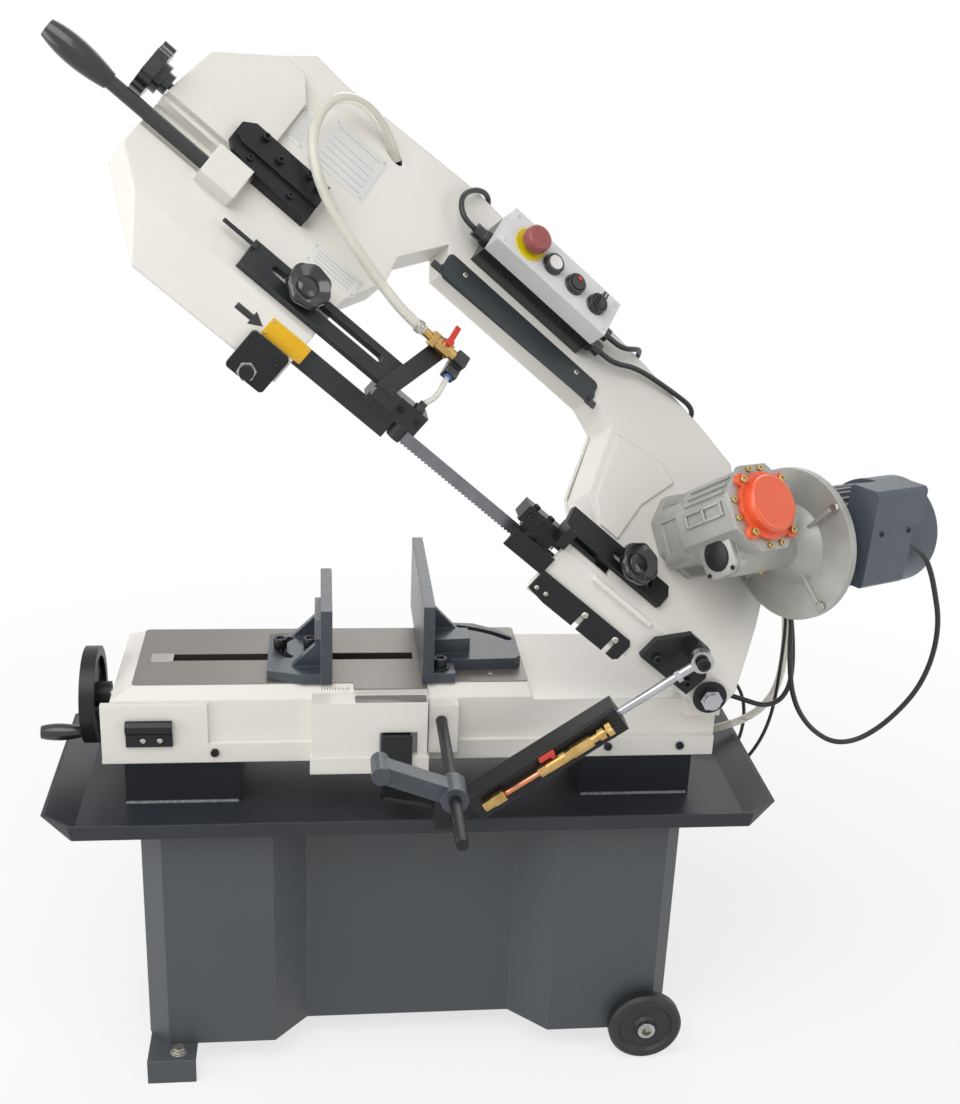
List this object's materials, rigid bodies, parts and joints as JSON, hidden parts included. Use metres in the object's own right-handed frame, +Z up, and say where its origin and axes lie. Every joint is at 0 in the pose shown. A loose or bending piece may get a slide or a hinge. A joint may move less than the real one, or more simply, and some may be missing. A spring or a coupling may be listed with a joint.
{
  "type": "metal cutting band saw",
  "caption": "Horizontal metal cutting band saw: slanted pivoting bow with band wheels, worm-drive motor, mitre vise, stock stop and hydraulic down-feed on a sheet-metal stand.",
  "frame": {"origin": "on the floor, under the middle of the whole machine", "axes": "+Z up, +X towards the motor end, -Y towards the operator"},
  "size_m": [1.3929, 0.674, 1.567],
  "materials": {
    "casting": "satin paint",
    "stand_grey": "satin paint",
    "tray_grey": "satin paint",
    "jaw_grey": "hammertone paint",
    "black_steel": "satin black",
    "bright_steel": "ground",
    "blade_steel": "rolled",
    "cast_wheel": "machined",
    "gear_alu": "cast, painted grey",
    "orange": "satin paint",
    "motor_grey": "painted",
    "box_grey": "satin paint",
    "slate": "moulded",
    "black_plastic": "moulded",
    "red_plastic": "moulded",
    "estop_red": "moulded",
    "white_plastic": "moulded",
    "brass": "turned",
    "hose": "translucent",
    "cable": "jacketed",
    "tyre": "moulded",
    "tank": "satin paint"
  },
  "bodies": {
    "base": {"stand": "stand_grey", "chip_tray": "tray_grey", "pedestals": "tray_grey", "foot_brackets": "stand_grey", "wheel_axle": "bright_steel", "coolant_tank": "tank", "bed": "casting", "stop_channel": "black_steel", "pivot_shaft": "bright_steel", "cylinder_clevis": "black_steel", "base_cables": "cable", "supply_hose": "hose"},
    "vise_screw": {"vise_screw": "bright_steel", "vise_handwheel": "black_steel"},
    "crank_grip": {"crank_grip": "black_plastic"},
    "jaw_carriage": {"jaw_carriage": "cast_wheel"},
    "movable_jaw": {"movable_jaw": "jaw_grey"},
    "fixed_jaw": {"fixed_jaw": "jaw_grey"},
    "stop_rod": {"stop_rod": "black_steel"},
    "stop_arm": {"stop_arm": "jaw_grey"},
    "feed_cylinder": {"feed_cylinder": "black_steel", "feed_valve_train": "brass"},
    "feed_valve_lever": {"feed_valve_lever": "red_plastic"},
    "piston_rod": {"piston_rod": "bright_steel"},
    "bow": {"saw_frame": "casting", "wheel_cover": "casting", "lift_handle": "black_plastic", "tension_gib": "black_steel", "saw_blade": "blade_steel", "return_guard": "black_steel", "lower_guard": "black_steel", "end_stop": "black_steel", "rod_bracket": "black_steel", "control_box_base": "black_plastic", "control_box_lid": "box_grey", "gearbox_housing": "gear_alu", "gearbox_cover": "orange", "motor_body": "motor_grey", "fan_cover": "slate", "terminal_box": "slate", "control_cables": "cable", "motor_cable": "cable", "coolant_hose": "hose"},
    "tension_handwheel": {"tension_handwheel": "black_plastic"},
    "idler_slide": {"idler_carriage": "cast_wheel"},
    "idler_wheel": {"idler_wheel": "cast_wheel"},
    "drive_wheel": {"drive_wheel": "cast_wheel"},
    "left_guide": {"left_guide_arm": "black_steel", "coolant_valve": "brass", "nozzle_tube": "hose"},
    "coolant_valve_lever": {"coolant_valve_lever": "red_plastic"},
    "right_guide": {"right_guide_arm": "black_steel"},
    "left_clamp_knob": {"left_clamp_knob": "black_plastic"},
    "right_clamp_knob": {"right_clamp_knob": "black_plastic"},
    "estop_button": {"estop_button": "estop_red"},
    "start_button": {"start_button": "white_plastic"},
    "stop_button": {"stop_button": "black_plastic"},
    "selector_switch": {"selector_switch": "black_plastic"},
    "front_wheel": {"front_wheel": "tyre"},
    "rear_wheel": {"rear_wheel": "tyre"}
  },
  "joints": [
    {"name": "bow_pivot", "type": "hinge", "parent": "base", "child": "bow", "pos_m": [0.3185, 0.011, 0.65], "axis": [0, -1, 0], "range_deg": [0, 40], "deforming": ["base_cables", "supply_hose"]},
    {"name": "feed_cylinder_swing", "type": "hinge", "parent": "base", "child": "feed_cylinder", "pos_m": [-0.0675, -0.069, 0.482], "axis": [0, -1, 0], "range_deg": [-3, 3]},
    {"name": "piston_rod_swing", "type": "hinge", "parent": "bow", "child": "piston_rod", "pos_m": [0.28651, -0.069, 0.73167], "axis": [0, -1, 0], "range_deg": [-43, 3]},
    {"name": "feed_valve_turn", "type": "hinge", "parent": "feed_cylinder", "child": "feed_valve_lever", "pos_m": [0.07844, -0.1005, 0.58738], "axis": [-0.5763, 0, 0.8172], "range_deg": [0, 90]},
    {"name": "vise_screw_turn", "type": "hinge", "parent": "base", "child": "vise_screw", "pos_m": [-0.6075, 0.136, 0.587], "axis": [1, 0, 0], "range_deg": [-8280, 9540]},
    {"name": "jaw_slide", "type": "slide", "parent": "base", "child": "jaw_carriage", "axis": [1, 0, 0], "range_m": [-0.1155, 0.133]},
    {"name": "crank_grip_spin", "type": "hinge", "parent": "vise_screw", "child": "crank_grip", "pos_m": [-0.6475, 0.096, 0.543], "axis": [1, 0, 0], "continuous": true},
    {"name": "movable_jaw_swivel", "type": "hinge", "parent": "jaw_carriage", "child": "movable_jaw", "pos_m": [-0.2775, 0.136, 0.656], "axis": [0, 0, -1], "range_deg": [-44, 0]},
    {"name": "fixed_jaw_mitre", "type": "hinge", "parent": "base", "child": "fixed_jaw", "pos_m": [-0.0815, 0.057, 0.656], "axis": [0, 0, -1], "range_deg": [-38, 0]},
    {"name": "stop_rod_slide", "type": "slide", "parent": "base", "child": "stop_rod", "axis": [0, 1, 0], "range_m": [-0.03, 0.12]},
    {"name": "stop_arm_swing", "type": "hinge", "parent": "stop_rod", "child": "stop_arm", "pos_m": [-0.0815, -0.207, 0.602], "axis": [0, -1, 0], "range_deg": [-70, 40]},
    {"name": "drive_wheel_spin", "type": "hinge", "parent": "bow", "child": "drive_wheel", "pos_m": [0.26028, 0.11707, 0.83731], "axis": [0.4545, -0.7071, 0.5417], "continuous": true},
    {"name": "idler_tension", "type": "slide", "parent": "bow", "child": "idler_slide", "axis": [0.766, 0, -0.6428], "range_m": [0, 0.01]},
    {"name": "idler_wheel_spin", "type": "hinge", "parent": "idler_slide", "child": "idler_wheel", "pos_m": [-0.33723, 0.11707, 1.33869], "axis": [0.4545, -0.7071, 0.5417], "continuous": true},
    {"name": "tension_turn", "type": "hinge", "parent": "bow", "child": "tension_handwheel", "pos_m": [-0.47694, 0.09232, 1.50668], "axis": [0.766, 0, -0.6428], "range_deg": [-1810, 0]},
    {"name": "left_guide_slide", "type": "slide", "parent": "bow", "child": "left_guide", "axis": [0.766, 0, -0.6428], "range_m": [-0.09, 0.04], "deforming": ["coolant_hose"]},
    {"name": "coolant_valve_turn", "type": "hinge", "parent": "left_guide", "child": "coolant_valve_lever", "pos_m": [-0.08637, 0.0209, 1.17249], "axis": [0.4545, -0.7071, 0.5417], "range_deg": [0, 90]},
    {"name": "right_guide_slide", "type": "slide", "parent": "bow", "child": "right_guide", "axis": [0.766, 0, -0.6428], "range_m": [-0.03, 0]},
    {"name": "left_knob_turn", "type": "hinge", "parent": "bow", "child": "left_clamp_knob", "pos_m": [-0.27864, -0.01233, 1.24983], "axis": [0.4545, -0.7071, 0.5417], "range_deg": [-720, 0]},
    {"name": "right_knob_turn", "type": "hinge", "parent": "bow", "child": "right_clamp_knob", "pos_m": [0.19566, -0.00738, 0.85831], "axis": [0.4545, -0.7071, 0.5417], "range_deg": [-720, 0]},
    {"name": "estop_press", "type": "slide", "parent": "bow", "child": "estop_button", "axis": [-0.4545, 0.7071, -0.5417], "range_m": [0, 0.005]},
    {"name": "start_press", "type": "slide", "parent": "bow", "child": "start_button", "axis": [-0.4545, 0.7071, -0.5417], "range_m": [0, 0.004], "stiffness_N_per_m": 900},
    {"name": "stop_press", "type": "slide", "parent": "bow", "child": "stop_button", "axis": [-0.4545, 0.7071, -0.5417], "range_m": [0, 0.004], "stiffness_N_per_m": 900},
    {"name": "selector_turn", "type": "hinge", "parent": "bow", "child": "selector_switch", "pos_m": [0.14205, 0.15313, 1.20513], "axis": [0.4545, -0.7071, 0.5417], "range_deg": [-45, 45]},
    {"name": "front_wheel_roll", "type": "hinge", "parent": "base", "child": "front_wheel", "pos_m": [0.2645, -0.033, 0.06], "axis": [0, 1, 0], "continuous": true},
    {"name": "rear_wheel_roll", "type": "hinge", "parent": "base", "child": "rear_wheel", "pos_m": [0.2645, 0.313, 0.06], "axis": [0, 1, 0], "continuous": true}
  ],
  "couplings": [
    {"joint": "feed_cylinder_swing", "follows": "bow_pivot", "ratio": -0.011},
    {"joint": "piston_rod_swing", "follows": "bow_pivot", "ratio": -1.011},
    {"joint": "jaw_slide", "follows": "vise_screw_turn", "m_per_rad": 0.00079577},
    {"joint": "tension_turn", "follows": "idler_tension", "rad_per_m": -3141.6},
    {"joint": "idler_wheel_spin", "follows": "drive_wheel_spin", "ratio": 1}
  ]
}
